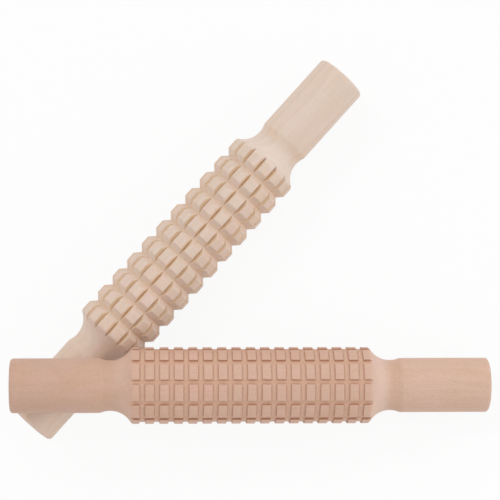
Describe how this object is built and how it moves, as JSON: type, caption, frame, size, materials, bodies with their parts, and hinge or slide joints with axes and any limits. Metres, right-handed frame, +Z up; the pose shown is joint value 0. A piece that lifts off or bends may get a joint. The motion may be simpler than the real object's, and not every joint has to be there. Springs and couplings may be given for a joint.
{
  "type": "textured rolling pin",
  "caption": "Turned wooden rolling pins with raised-block barrels and plain handles, lying crossed, for pressing a texture into clay or dough.",
  "frame": {"origin": "bottom centre of the box round both pins, on the surface they lie on", "axes": "+Z up, +X along the grid pin as seen from above, towards its low end"},
  "size_m": [0.2548, 0.2018, 0.0663],
  "materials": {
    "pale_maple": "bare, sanded, pale cream",
    "beech": "bare, sanded, pinkish tan"
  },
  "bodies": {
    "stud_pin": {"stud_rolling_pin": "pale_maple"},
    "grid_pin": {"grid_rolling_pin": "beech"}
  },
  "joints": [
    {"name": "grid_pin_lift", "type": "slide", "parent": "stud_pin", "child": "grid_pin", "axis": [0, 0, 1], "range_m": [0, 0.08]}
  ]
}
